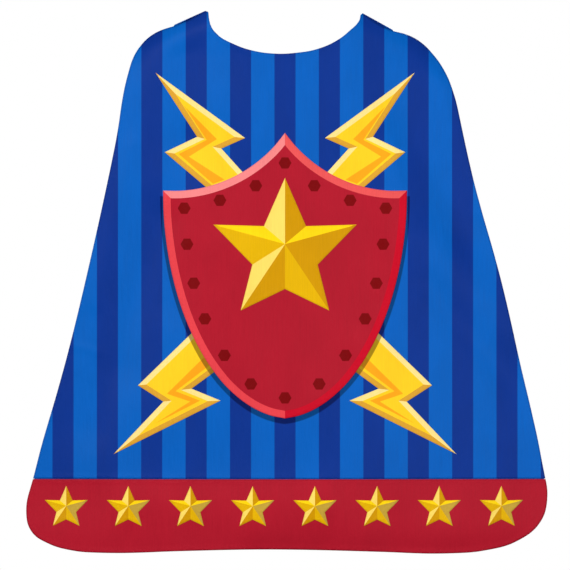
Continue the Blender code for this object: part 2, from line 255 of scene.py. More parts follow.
def wrinkle_at(x, z):
    """The height of the wrinkles, read from their grid with soft steps between its points."""
    low, last = cad_box[0], np.array(WRINKLES.shape) - 1.001
    gx = np.clip((x - low[0] + WRINKLE_MARGIN) / WRINKLE_CELL, 0, last[0])
    gz = np.clip((z - low[2] + WRINKLE_MARGIN) / WRINKLE_CELL, 0, last[1])
    i, j = gx.astype(int), gz.astype(int)
    u, v = smooth_step(gx - i), smooth_step(gz - j)
    one = WRINKLES[i, j] * (1 - u) + WRINKLES[i + 1, j] * u
    two = WRINKLES[i, j + 1] * (1 - u) + WRINKLES[i + 1, j + 1] * u
    return one * (1 - v) + two * v


def depth(x, z):
    """How far forward the lining's inner face lies, folds and wrinkles included."""
    x, z = np.asarray(x, float), np.asarray(z, float)
    raised = wrinkle_at(x, z)
    for path, width, height in FOLDS:
        line = [(a * MM, b * MM) for a, b in path]
        away = distance_to_path(x, z, line) / (width * MM)
        raised = raised + height * MM * np.exp(-(away**2))
    shoulder = shoulder_height(np.maximum(np.abs(x) - SHOULDER_REACH, 0.0))
    return back_depth(x, z) - raised * smooth_step((shoulder - z) / FOLDS_START)


def hang(x, z, height):
    """Flat points of the body, at heights out of the lining, where they lie when it hangs."""
    return np.stack([x, depth(x, z) - height, z], axis=-1)


# Outlines


def area_of(loop):
    """The area inside a loop, positive where it runs anticlockwise."""
    x, z = np.asarray(loop).T
    return 0.5 * float((x * np.roll(z, -1) - np.roll(x, -1) * z).sum())


def node_rim(name):
    """The outline of a CAD sheet as an anticlockwise loop of (x, z) points."""
    mesh = frame["nodes"][name].data
    mesh.calc_loop_triangles()
    points = np.array([v.co for v in mesh.vertices], float)
    height = back_depth(points[:, 0], points[:, 2]) - points[:, 1]
    low = height < (height.min() + height.max()) / 2
    names = [tuple(p) for p in np.round(points[:, (0, 2)] / 1e-6).astype(int)]
    following = {}
    for triangle in mesh.loop_triangles:
        corners = list(triangle.vertices)
        if low[corners].sum() == 2:
            for a, b in zip(corners, corners[1:] + corners[:1]):
                if low[a] and low[b] and names[a] != names[b]:
                    following[names[a]] = names[b]
    start = min(following)
    loop = [start]
    while following[loop[-1]] != start:
        loop.append(following[loop[-1]])
    loop = np.array(loop) * 1e-6
    return loop if area_of(loop) > 0 else loop[::-1]


def turns(loop):
    """How sharply the loop turns at each point, in degrees."""
    back = loop - np.roll(loop, 1, axis=0)
    ahead = np.roll(loop, -1, axis=0) - loop
    cross = back[:, 0] * ahead[:, 1] - back[:, 1] * ahead[:, 0]
    return np.degrees(np.arctan2(cross, (back * ahead).sum(axis=1)))


def without_straight(loop, least=0.4):
    """The loop without the points in the middle of its straight runs."""
    while True:
        keep = np.abs(turns(loop)) > least
        if keep.all():
            return loop
        drop = np.flatnonzero(~keep)
        apart = [drop[0]]
        for index in drop[1:]:
            if index - apart[-1] > 1:
                apart.append(index)
        loop = np.delete(loop, apart, axis=0)


def smooth_run(points, spacing):
    """Points about a spacing apart, on a smooth line through the given ones."""
    points = np.asarray(points, float)
    steps = np.linalg.norm(np.diff(points, axis=0), axis=1)
    along = np.concatenate([[0.0], np.cumsum(steps)])
    slope = np.gradient(points, along, axis=0)
    at = np.linspace(0, along[-1], max(1, round(along[-1] / spacing)) + 1)
    i = np.clip(np.searchsorted(along, at, side="right") - 1, 0, len(steps) - 1)
    t, h = ((at - along[i]) / steps[i])[:, None], steps[i][:, None]
    a, b = points[i], points[i + 1]
    return (
        a * (1 + 2 * t) * (1 - t) ** 2
        + b * t * t * (3 - 2 * t)
        + slope[i] * h * t * (1 - t) ** 2
        + slope[i + 1] * h * t * t * (t - 1)
    )


def resampled(loop, spacing):
    """The loop again with evenly spaced points, smooth except at its corners."""
    loop = without_straight(loop)
    sharp = np.flatnonzero(np.abs(turns(loop)) > CORNER)
    loop = np.roll(loop, -sharp[0], axis=0)
    ends = list(sharp - sharp[0]) + [len(loop)]
    closed = np.vstack([loop, loop[:1]])
    runs = [smooth_run(closed[a : b + 1], spacing)[:-1] for a, b in zip(ends, ends[1:])]
    return np.vstack(runs)


def rounded(loop, place, radius, steps=7):
    """The loop with the corner nearest a place made into an arc."""
    at = int(np.linalg.norm(loop - place, axis=1).argmin())
    loop = np.roll(loop, -at, axis=0)
    corner = loop[0]
    one, two = unit(loop[-1] - corner), unit(loop[1] - corner)
    opening = math.acos(float(np.clip(one @ two, -1, 1)))
    reach = radius / math.tan(opening / 2)
    middle = corner + unit(one + two) * radius / math.sin(opening / 2)
    start, end = corner + one * reach - middle, corner + two * reach - middle
    sweep = math.pi - opening
    turn = np.linspace(0, 1, steps)[:, None]
    arc = middle + (np.sin((1 - turn) * sweep) * start + np.sin(turn * sweep) * end) / math.sin(sweep)
    away = np.linalg.norm(loop - corner, axis=1)
    return np.vstack([arc, loop[away > reach + 0.0012]])


def unit(vector):
    return vector / max(np.linalg.norm(vector), TINY)


def unit_rows(rows):
    return rows / np.maximum(np.linalg.norm(rows, axis=1), TINY)[:, None]


def sides_of(points):
    """The straight sides of a polygon, as pairs of places."""
    return [(tuple(a), tuple(b)) for a, b in zip(points, np.roll(points, -1, axis=0))]


def inward(loop):
    """The way into the loop at each point, longer at corners so that an inset keeps its width."""
    back = loop - np.roll(loop, 1, axis=0)
    ahead = np.roll(loop, -1, axis=0) - loop
    normals = [unit_rows(np.stack([-d[:, 1], d[:, 0]], axis=1)) for d in (back, ahead)]
    middle = normals[0] + normals[1]
    length = np.maximum(np.linalg.norm(middle, axis=1), 0.3)[:, None]
    return 2 * middle / length**2


def offset_polygon(points, width):
    """A polygon with each side moved inwards by a width, its corners mitred."""
    points = np.asarray(points, float)
    sides = []
    for a, b in zip(points, np.roll(points, -1, axis=0)):
        d = unit(b - a)
        sides.append((a + width * np.array([-d[1], d[0]]), d))
    out = []
    for (p, d), (q, e) in zip([sides[-1]] + sides[:-1], sides):
        s = np.cross(q - p, e) / np.cross(d, e)
        out.append(p + s * d)
    return np.array(out)


def inside(x, z, loop):
    """Whether each point is inside the loop."""
    result = np.zeros(np.shape(x), bool)
    for (ax, az), (bx, bz) in zip(loop, np.roll(loop, -1, axis=0)):
        crosses = (az > z) != (bz > z)
        if az != bz:
            result ^= crosses & (x < ax + (z - az) * (bx - ax) / (bz - az))
    return result


# Cloth meshes


def filled(loop, spacing, lines=()):
    """Points and triangles inside a loop, with edges along the given lines. The loop's own
    points come first."""
    loop = np.asarray(loop)
    closed = np.vstack([loop, loop[:1]])
    around = [(n, (n + 1) % len(loop)) for n in range(len(loop))]
    points, edges = [tuple(p) for p in loop], []
    for line in lines:
        steps = smooth_run(line, spacing * 0.8)
        keep = inside(steps[:, 0], steps[:, 1], loop)
        keep &= distance_to_path(steps[:, 0], steps[:, 1], closed) > 0.25 * spacing
        last = None
        for number, place in enumerate(steps):
            on_ring = np.linalg.norm(loop - place, axis=1)
            if on_ring.min() < 1e-7:
                this = int(on_ring.argmin())
            elif keep[number]:
                this = len(points)
                points.append(tuple(place))
            else:
                last = last if number + 1 == len(steps) or number == 1 else None
                continue
            if last is not None and this != last:
                edges.append((last, this))
            last = this
    low, high = loop.min(axis=0), loop.max(axis=0)
    rows = np.arange(low[1], high[1], spacing * math.sqrt(0.75))
    for number, z in enumerate(rows):
        x = np.arange(low[0] + (number % 2) * spacing / 2, high[0], spacing)
        x = x[inside(x, np.full_like(x, z), loop)]
        away = np.full(len(x), np.inf)
        for a, b in around + edges:
            pa, pb = points[a], points[b]
            if min(pa[1], pb[1]) - spacing < z < max(pa[1], pb[1]) + spacing:
                away = np.minimum(away, distance_to_path(x, z, [pa, pb]))
        for value in x[away > 0.55 * spacing]:
            points.append((float(value), float(z)))
    edges += around
    verts, _, faces, sources, _, _ = delaunay_2d_cdt(
        [Vector(p) for p in points], edges, [], 0, 1e-7, True
    )
    order = {}
    for number, source in enumerate(sources):
        for original in source:
            order.setdefault(original, number)
    ring = [order[number] for number in range(len(loop))]
    on_ring = set(ring)
    rest = [n for n in range(len(verts)) if n not in on_ring]
    renumbered = {old: new for new, old in enumerate(ring + rest)}
    flat = np.array([verts[old] for old in ring + rest], float)
    corners = np.array([[renumbered[n] for n in face] for face in faces])
    a, b, c = (flat[corners[:, k]] for k in range(3))
    turn = (b[:, 0] - a[:, 0]) * (c[:, 1] - a[:, 1]) - (b[:, 1] - a[:, 1]) * (c[:, 0] - a[:, 0])
    middle = (a + b + c) / 3
    corners[turn < 0] = corners[turn < 0][:, ::-1]
    kept = corners[inside(middle[:, 0], middle[:, 1], flat[: len(loop)])]
    return flat, [tuple(int(n) for n in triangle) for triangle in kept]


def add(name, data):
    """A new object in the scene."""
    made = bpy.data.objects.new(name, data)
    bpy.context.scene.collection.objects.link(made)
    return made


def mark(mesh, name, kind, field, values):
    """Gives each point of a mesh a value that its material reads."""
    layer = mesh.attributes.new(name, kind, "POINT")
    layer.data.foreach_set(field, np.asarray(values, np.float32).ravel())


def cloth(name, loop, profile, place, spacing, lines=(), ink=None):
    """A closed sheet of cloth inside a flat loop.

    profile holds, for each point of the loop, (inset, height) pairs from the face round the
    edge to the back, and its first and last insets are the same. place turns flat points and
    heights into places in the frame. ink gives each flat triangle its printed colour."""
    profile = np.asarray(profile)
    if profile.ndim == 2:
        profile = np.repeat(profile[None], len(loop), axis=0)
    into = inward(loop)
    rings = [loop + into * profile[:, j, :1] for j in range(profile.shape[1])]
    flat, triangles = filled(rings[0], spacing, lines)
    n, m, last = len(loop), len(flat), profile.shape[1] - 1

    def sheet_heights(row):
        out = np.full(m, float(np.median(profile[:, row, 1])))
        out[:n] = profile[:, row, 1]
        return out

    flats = [flat, *rings[1:last], flat]
    between = [profile[:, j, 1] for j in range(1, last)]
    heights = [sheet_heights(0), *between, sheet_heights(last)]
    starts = np.cumsum([0] + [len(part) for part in flats])
    faces = list(triangles)
    faces += [tuple(starts[last] + k for k in (a, c, b)) for a, b, c in triangles]
    for j in range(last):
        for k in range(n):
            after = (k + 1) % n
            here, there = starts[j], starts[j + 1]
            faces.append((here + k, there + k, there + after, here + after))
    flat_all, height_all = np.vstack(flats), np.concatenate(heights)
    mesh = bpy.data.meshes.new(name)
    places = place(flat_all[:, 0], flat_all[:, 1], height_all)
    mesh.from_pydata(places.tolist(), [], [[int(k) for k in face] for face in faces])
    mesh.shade_smooth()
    mark(mesh, "flat", "FLOAT_VECTOR", "vector", np.column_stack([flat_all, height_all]))
    from_edge = distance_to_path(flat[:, 0], flat[:, 1], np.vstack([loop, loop[:1]]))
    from_edge = np.minimum(from_edge, EDGE_FAR)
    sides = [np.zeros(n)] * (last - 1)
    mark(mesh, "edge", "FLOAT", "value", np.concatenate([from_edge, *sides, from_edge]))
    if ink is not None:
        centres = np.array([flat[list(t)].mean(axis=0) for t in triangles])
        shades = ink(centres[:, 0], centres[:, 1])
        # The sides take the colour just inside the edge.
        ring_next = (flat[np.arange(n)] + flat[(np.arange(n) + 1) % n]) / 2
        ring_in = ring_next + 0.0004 * unit_rows(into)
        side_shades = ink(ring_in[:, 0], ring_in[:, 1])
        per_face = np.vstack([shades, shades] + [side_shades] * last)
        counts = np.array([len(face) for face in faces])
        corners = np.repeat(per_face, counts, axis=0)
        colours = np.column_stack([corners, np.ones(len(corners))])
        layer = mesh.color_attributes.new("ink", "FLOAT_COLOR", "CORNER")
        layer.data.foreach_set("color", colours.astype(np.float32).ravel())
    return add(name, mesh)


# Materials


class Shader:
    """A node material and short ways to add nodes to it."""

    def __init__(self, name, roughness, specular, sheen, sheen_tint):
        self.material = bpy.data.materials.new(name)
        self.material.use_nodes = True
        self.tree = self.material.node_tree
        self.surface = self.tree.nodes["Principled BSDF"]
        self.surface.inputs["Roughness"].default_value = roughness
        self.surface.inputs["Specular IOR Level"].default_value = specular
        self.surface.inputs["Sheen Weight"].default_value = sheen
        self.surface.inputs["Sheen Roughness"].default_value = 0.35
        self.surface.inputs["Sheen Tint"].default_value = (*sheen_tint, 1.0)
        flat = self.node("ShaderNodeAttribute", attribute_name="flat")
        self.flat = flat.outputs["Vector"]
        split = self.node("ShaderNodeSeparateXYZ")
        self.link(self.flat, split.inputs[0])
        self.x, self.z, self.height = split.outputs
        edge = self.node("ShaderNodeAttribute", attribute_name="edge")
        self.edge = edge.outputs["Fac"]

    def node(self, kind, **settings):
        made = self.tree.nodes.new(kind)
        for key, value in settings.items():
            setattr(made, key, value)
        return made

    def link(self, source, target):
        self.tree.links.new(source, target)

    def put(self, target, value):
        if isinstance(value, bpy.types.NodeSocket):
            self.link(value, target)
        else:
            target.default_value = value

    def math(self, operation, *values):
        made = self.node("ShaderNodeMath", operation=operation)
        for number, value in enumerate(values):
            self.put(made.inputs[number], value)
        return made.outputs[0]

    def ramp(self, value, low, high, to_low=0.0, to_high=1.0):
        """A value eased from one range into another."""
        made = self.node("ShaderNodeMapRange", interpolation_type="SMOOTHSTEP")
        for socket, entry in zip(made.inputs, (value, low, high, to_low, to_high)):
            self.put(socket, entry)
        return made.outputs[0]

    def mix(self, share, first, second, blend="MIX"):
        made = self.node("ShaderNodeMix", data_type="RGBA", blend_type=blend)
        self.put(made.inputs["Factor"], share)
        for socket, value in ((made.inputs[6], first), (made.inputs[7], second)):
            self.put(socket, (*value, 1.0) if isinstance(value, tuple) else value)
        return made.outputs[2]

    def noise(self, scale, detail=2.0, roughness=0.5):
        """Noise from 0 to 1 that varies that many times a metre across, down and through."""
        scaled = self.node("ShaderNodeVectorMath", operation="MULTIPLY")
        self.link(self.flat, scaled.inputs[0])
        scaled.inputs[1].default_value = scale
        made = self.node("ShaderNodeTexNoise")
        self.link(scaled.outputs[0], made.inputs["Vector"])
        made.inputs["Scale"].default_value = 1.0
        made.inputs["Detail"].default_value = detail
        made.inputs["Roughness"].default_value = roughness
        return made.outputs["Fac"]

    def bump(self, height, distance, strength=1.0, under=None):
        made = self.node("ShaderNodeBump")
        made.inputs["Strength"].default_value = strength
        made.inputs["Distance"].default_value = distance
        self.link(height, made.inputs["Height"])
        if under is not None:
            self.link(under, made.inputs["Normal"])
        return made.outputs["Normal"]

    def paint(self, base, tone):
        """A base colour made lighter and darker by a tone, set as the surface's base colour. The tone
        can hold painted shade as well as the cloth's own tone.
        """
        grey = self.node("ShaderNodeCombineColor")
        for socket in grey.inputs:
            self.link(tone, socket)
        colour = self.mix(1.0, base, grey.outputs[0], "MULTIPLY")
        self.link(colour, self.surface.inputs["Base Color"])

    def finish(self, normal, roughness):
        self.link(normal, self.surface.inputs["Normal"])
        self.link(roughness, self.surface.inputs["Roughness"])
        return self.material


THREAD = 0.00042  # one thread of the satin and its neighbour
TIES_APART = 5 * THREAD  # how far down the cloth a thread goes before it dives under
TIES_STEP = 2.51  # how far each thread's ties are ahead of its neighbour's, in radians
GLOSS = 0.42
SLUBS, BROAD = (900.0, 24.0, 1.0), (22.0, 14.0, 1.0)
CREASES, PUCKERS = (150.0, 60.0, 1.0), (260.0, 260.0, 1.0)
HOOK_PITCH = 0.0011
WOVEN = (4200.0, 4200.0, 100.0)


def satin(name, colour, sheen_tint, painted_edge_shade=0.14, sheen=0.0, specular=0.04, roughness=GLOSS):
    """A woven satin with long floats down the cloth. colour(shader) gives its printed colour."""
    s = Shader(name, roughness, specular, sheen, sheen_tint)
    base = colour(s)
    slubs = s.noise(SLUBS, 2.0)
    broad = s.ramp(s.noise(BROAD, 2.0), 0.3, 0.7, -0.03, 0.03)
    tone = s.math("ADD", s.ramp(slubs, 0.25, 0.75, 0.965, 1.035), broad)
    # Within 2.2 mm of a piece's edge the colour is darkened: painted shade where the cloth rolls under
    # at its turned edge.
    tone = s.math("MULTIPLY", tone, s.ramp(s.edge, 0.0, 0.0022, 1.0 - painted_edge_shade, 1.0))
    s.paint(base, tone)
    # Floats lie side by side across the cloth and step over one another down it.
    across = s.math("SINE", s.math("MULTIPLY", s.x, 2 * math.pi / THREAD))
    thread = s.math("FLOOR", s.math("DIVIDE", s.x, THREAD))
    down = s.math("MULTIPLY", s.z, 2 * math.pi / TIES_APART)
    step = s.math("ADD", down, s.math("MULTIPLY", thread, TIES_STEP))
    ties = s.math("POWER", s.math("ABSOLUTE", s.math("SINE", step)), 6.0)
    weave = s.math("ADD", s.math("MULTIPLY", across, 0.6), s.math("MULTIPLY", ties, 0.7))
    fine = s.bump(weave, 0.00003)
    soft = s.bump(s.noise(CREASES, 3.0, 0.55), 0.0011, 0.35, fine)
    # The seam at the edge draws the cloth into small puckers.
    near = s.ramp(s.edge, 0.0008, 0.009, 1.0, 0.0)
    puckers = s.bump(s.math("MULTIPLY", s.noise(PUCKERS, 1.0), near), 0.0012, 0.6, soft)
    return s.finish(puckers, s.ramp(slubs, 0.2, 0.8, roughness - 0.05, roughness + 0.07))


def felted(name, colour, roughness, scale, distance, contrast, sheen=0.0):
    """A fuzzy surface of short tangled fibres."""
    s = Shader(name, roughness, 0.15, sheen, (1, 1, 1))
    tangle = s.noise((scale, scale, scale), 3.0, 0.65)
    broad = s.ramp(s.noise((90.0, 90.0, 90.0), 2.0), 0.3, 0.7, 0.9, 1.0)
    tone = s.math("MULTIPLY", s.ramp(tangle, 0.3, 0.7, 1.0 / contrast, 1.0), broad)
    s.paint(plain(colour)(s), tone)
    return s.finish(s.bump(tangle, distance), s.ramp(tangle, 0.2, 0.8, roughness - 0.08, roughness))


def hooked(name):
    """Rows of stiff little hooks on a tape, with a plain woven border."""
    s = Shader(name, 0.55, 0.35, 0.0, (1, 1, 1))
    field = s.ramp(s.edge, 0.0014, 0.0019)
    rows = s.math("SINE", s.math("MULTIPLY", s.x, 2 * math.pi / HOOK_PITCH))
    columns = s.math("SINE", s.math("MULTIPLY", s.z, 2 * math.pi / (HOOK_PITCH * 0.8)))
    hooks = s.math("MULTIPLY", s.math("MULTIPLY", rows, columns), field)
    weave = s.noise(WOVEN, 1.0)
    height = s.math("ADD", hooks, s.math("MULTIPLY", weave, 0.3))
    # The colour darkens to 0.45 where the hooks and weave are low: painted shade in the hollows between
    # the hooks.
    s.paint(plain(HOOK_BLACK)(s), s.ramp(height, -1.0, 1.2, 0.45, 1.0))
    return s.finish(s.bump(height, 0.00045), s.ramp(weave, 0.2, 0.8, 0.45, 0.65))


def shield_shade(s):
    """How dark the printed shade behind the shield is, from 0 to 1."""
    centre_x, centre_z = SHIELD_SIDE_CENTRE[0] * MM, (SHIELD_SIDE_CENTRE[1] - SHADE_DROP) * MM
    side = s.math("DIVIDE", s.math("ABSOLUTE", s.x), SHADE_STRETCH)
    across = s.math("DIVIDE", s.math("SUBTRACT", side, centre_x), SHIELD_SIDE_RADII[0] * MM)
    down = s.math("DIVIDE", s.math("SUBTRACT", s.z, centre_z), SHIELD_SIDE_RADII[1] * MM)
    reach = s.math("SQRT", s.math("ADD", s.math("POWER", across, 2.0), s.math("MULTIPLY", down, down)))
    within = s.ramp(reach, 0.998, 1.004, 1.0, 0.0)
    below = s.ramp(s.z, centre_z - 2 * MM, centre_z, 1.0, 0.0)
    return s.math("MULTIPLY", within, below)


def stripes(s):
    """Navy and light blue stripes down the cloth, with the shield's shade over them."""
    phase = s.math("ADD", s.math("DIVIDE", s.x, STRIPE_PERIOD * MM), 0.5)
    off = s.math("ABSOLUTE", s.math("SUBTRACT", s.math("FRACT", phase), 0.5))
    half = NAVY_WIDTH / STRIPE_PERIOD / 2
    soft = 0.25 / STRIPE_PERIOD
    light = s.ramp(off, half - soft, half + soft)
    base = s.mix(light, NAVY, BLUE)
    shaded = s.mix(light, SHADED_NAVY, SHADED_BLUE)
    return s.mix(shield_shade(s), base, shaded)


def plain(colour):
    """One colour all over, before the weave tones it."""
    return lambda s: s.mix(0.0, colour, colour)


def printed(s):
    """The colour printed on each face of the mesh."""
    return s.node("ShaderNodeAttribute", attribute_name="ink").outputs["Color"]


def printed_shaded(s):
    """The printed colour, with the shield's shade over it."""
    return s.mix(s.math("MULTIPLY", shield_shade(s), 0.72), printed(s), SHADED_GOLD)


materials = {
    "stripes": satin("striped satin", stripes, BLUE),
    "red": satin("red satin", plain(RED), RED),
    "lining": satin("blue lining satin", plain(LINING_BLUE), BLUE, 0.10, 0.05, 0.2),
    "shield": satin("printed shield satin", printed, RED, 0.15),
    "star": satin("printed star satin", printed, STAR_BRIGHT, 0.12),
    "bolt": satin("printed bolt satin", printed_shaded, STAR_BRIGHT, 0.12),
    "interfacing": felted("white interfacing", WHITE, 0.9, 2600.0, 0.00010, 1.2),
    "loop": felted("black loop tape", LOOP_BLACK, 0.95, 2300.0, 0.00060, 2.2, 0.10),
    "hook": hooked("black hook tape"),
    "label": satin("white label satin", plain(WHITE), WHITE, 0.10),
    "tape_thread": felted("black thread", THREAD_BLACK, 0.6, 5200.0, 0.00006, 1.2),
}


def dress(piece, material, node, body=None):
    """Gives a piece its material, hides the CAD node that it stands for, and, where a body is given,
    hangs it on that body.
    """
    piece.data.materials.append(materials[material])
    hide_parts(node)
    if body:
        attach(piece, body)


# The body


# From the face, round the edge, to the back: inset from the edge and height, in millimetres.
TURNED = [(2.05, 1.60), (1.7, 1.58), (1.1, 1.50), (0.5, 1.30), (0.12, 1.02), (0.0, 0.74), (0.14, 0.42),
          (0.5, 0.14), (1.0, 0.02), (1.5, 0.10), (1.9, 0.36), (1.6, 0.52), (1.1, 0.42), (0.8, 0.72),
          (1.1, 1.06), (1.7, 1.22), (2.05, 1.25)]
SEAMED = [(2.05, 1.60), (1.7, 1.57), (1.1, 1.46), (0.6, 1.28), (0.26, 1.08), (0.12, 0.86), (0.10, 0.78),
          (0.10, 0.72), (0.10, 0.70), (0.10, 0.68), (0.12, 0.67), (0.2, 0.68), (0.4, 0.72), (0.8, 0.86),
          (1.1, 1.06), (1.7, 1.20), (2.05, 1.25)]
FOLDED = [(2.05, 1.60), (1.7, 1.60), (1.1, 1.60), (0.5, 1.60), (0.0, 1.60), (0.0, 1.56), (0.0, 1.52),
          (0.0, 1.48), (0.0, 1.45), (0.0, 1.42), (0.0, 1.39), (0.0, 1.36), (0.0, 1.32), (0.0, 1.25),
          (1.0, 1.25), (1.7, 1.25), (2.05, 1.25)]
LINED = [(3.1, 0.35), (2.7, 0.37), (2.2, 0.46), (1.95, 0.56), (1.75, 0.46), (1.95, 0.22), (2.3, 0.07),
         (2.7, 0.01), (3.1, 0.0)]
LINED_FOLD = [(3.1, 0.35), (2.0, 0.35), (1.0, 0.35), (0.0, 0.35), (0.0, 0.2), (0.0, 0.0), (1.0, 0.0),
              (2.0, 0.0), (3.1, 0.0)]


def profile_of(kinds, tables):
    """One profile for each point of a loop, eased where its kind changes."""
    arrays = np.array([np.array(table) * MM for table in tables])
    shares = np.zeros((len(kinds), len(tables)))
    shares[np.arange(len(kinds)), kinds] = 1.0
    eased = (np.roll(shares, 1, axis=0) + 2 * shares + np.roll(shares, -1, axis=0)) / 4
    return np.einsum("nk,kjc->njc", eased, arrays)


def fold_lines():
    """The ends of each shoulder fold in (x, z), at the neckline's horn and at the outer kink."""
    rim = node_rim("lining_panel")
    found = {}
    for joint in frame["joints"]:
        side = "left" if joint["child"].startswith("left") else "right"
        sign = -1 if side == "left" else 1
        half = rim[rim[:, 0] * sign > 0]
        horn = half[half[:, 1].argmax()]
        x, _, z = joint["pos_m"]
        found[side] = (horn, 2 * np.array([x, z]) - horn)
    return found


folds = fold_lines()


def on_fold(points):
    """Whether each point lies on the straight part of a shoulder fold."""
    result = np.zeros(len(points), bool)
    for horn, kink in folds.values():
        along = unit(kink - horn)
        place = (points - horn) @ along
        away = np.abs((points - horn) @ np.array([-along[1], along[0]]))
        last = np.linalg.norm(kink - horn) - 0.0006
        result |= (away < 0.0008) & (place > HORN_ROUND) & (place < last)
    return result


def body_loop(name, radius):
    """The outline of a layer of the body, its two points at the shoulders rounded."""
    loop = resampled(node_rim(name), BODY_SPACING)
    for horn, _ in folds.values():
        if np.linalg.norm(loop - horn, axis=1).min() < 0.003:
            loop = rounded(loop, horn, radius)
    return loop


def make_body():
    for name, material, slot in (
        ("shell_panel", "stripes", "striped_shell"),
        ("border_band", "red", "border_band"),
    ):
        loop = body_loop(name, HORN_ROUND)
        kinds = np.where(on_fold(loop), 2, 0)
        kinds[np.abs(loop[:, 1] - BAND_TOP * MM) < 0.0012] = 1
        profile = profile_of(kinds, [TURNED, SEAMED, FOLDED])
        piece = cloth(name + "_cloth", loop, profile, hang, BODY_SPACING)
        dress(piece, material, name, "cape_body")
    loop = body_loop("lining_panel", LINING_HORN_ROUND)
    profile = profile_of(np.where(on_fold(loop), 1, 0), [LINED, LINED_FOLD])
    piece = cloth("lining_panel_cloth", loop, profile, hang, BODY_SPACING)
    dress(piece, "lining", "lining_panel", "cape_body")


# The emblem


def patch_profile(low, high, skirt):
    """A thin patch with a soft rounded edge that reaches down to the cloth under it."""
    thick = high - low
    return [(0.0004, high), (0.0002, high - 0.08 * thick), (0.00006, high - 0.3 * thick),
            (0.0, high - 0.6 * thick), (0.00002, skirt), (0.0002, skirt), (0.0004, low)]


# Heights of the patches' backs and faces, each on the one before. The hem stars lie as high as
# the bolts.
BOLT_LOW = SHELL_FACE + BOND
BOLT_HIGH = BOLT_LOW + PATCH_CLOTH
SHIELD_LOW = BOLT_HIGH + BOND
SHIELD_HIGH = SHIELD_LOW + PATCH_CLOTH
STAR_LOW = SHIELD_HIGH + BOND
STAR_HIGH = STAR_LOW + PATCH_CLOTH


def corners_of(loop, least=CORNER):
    loop = without_straight(loop)
    return loop[np.abs(turns(loop)) > least]


def snapped(place, loop):
    """The point of the loop nearest a place."""
    return loop[np.linalg.norm(loop - place, axis=1).argmin()]


def patch(
    name, node, low, high, skirt, lines_for, ink, material, spacing=PATCH_SPACING,
):
    """A printed patch on the cape. Its back is at one height, its face at another, and its edge
    reaches down to skirt. lines_for(the rim of its face) gives the edges of its facets."""
    rim = node_rim(node)
    loop = resampled(rim, spacing)
    profile = patch_profile(low, high, skirt)
    ring = loop + inward(loop) * profile[0][0]
    piece = cloth(name, loop, profile, hang, spacing, lines_for(ring), ink)
    dress(piece, material, node, "cape_body")


def star_patch(node, centre, low, high, skirt, dark_right, spacing):
    """A star whose facets meet at its centre."""
    rim = corners_of(node_rim(node))
    rim_turns = np.sort(np.arctan2(rim[:, 1] - centre[1], rim[:, 0] - centre[0]))
    # Anticlockwise from the facet under the right point.
    table = np.array([
        dark_right, STAR_BRIGHT, STAR_DARK, STAR_LIGHT, STAR_BRIGHT,
        STAR_MID, STAR_LIGHT, STAR_DARK, STAR_MID, dark_right,
    ])

    def ink(x, z):
        angle = np.arctan2(z - centre[1], x - centre[0])
        start = int(np.searchsorted(rim_turns, 0.0))
        return table[(np.searchsorted(rim_turns, angle) - start) % len(table)]

    def lines(ring):
        return [(tuple(centre), tuple(snapped(corner, ring))) for corner in rim]

    name = node.removesuffix("_patch") + "_cloth"
    patch(name, node, low, high, skirt, lines, ink, "star", spacing)


def bolt_patch(bolt, band):
    """A lightning bolt with bevelled edges and a darker band inside it."""
    node = bolt + "_patch"
    corners = corners_of(node_rim(node), BOLT_CORNER)
    sign = np.sign(corners[:, 0].mean())
    band = np.array(band) * MM * (sign, 1.0)
    inner = offset_polygon(corners, BEVEL * MM)

    def lines(ring):
        mitres = [(tuple(a), tuple(snapped(b, ring))) for a, b in zip(inner, corners)]
        return sides_of(inner) + mitres + sides_of(band)

    def ink(x, z):
        near = nearest_side(x, z, corners)
        faces_up = corners[:, 0] > np.roll(corners, -1, axis=0)[:, 0]
        shade = np.where(faces_up[near][:, None], BOLT_CREAM, BOLT_OCHRE)
        shade[inside(x, z, inner)] = BOLT_FACE
        shade[inside(x, z, band) & inside(x, z, inner)] = BOLT_BAND
        return shade

    patch(bolt + "_cloth", node, BOLT_LOW, BOLT_HIGH, SHELL_FACE, lines, ink, "bolt")


def nearest_side(x, z, corners):
    """Which side of a polygon's mitred bevel each point is on."""
    away, across = [], []
    for a, b in zip(corners, np.roll(corners, -1, axis=0)):
        d = unit(b - a)
        away.append(distance_to_path(x, z, [a, b]))
        across.append((z - a[1]) * d[0] - (x - a[0]) * d[1])
    away, across = np.array(away), np.array(across)
    # Past an inward corner two sides are equally near, and the bevel goes to the one faced more.
    tied = away < away.min(axis=0) + 1e-7
    return np.where(tied, across, -np.inf).argmax(axis=0)


def hexagon(x, z):
    """The corners of a stud."""
    turn = np.arange(6) * math.pi / 3
    return np.stack([x + STUD_RADIUS * np.cos(turn), z + STUD_RADIUS * np.sin(turn)], axis=1) * MM


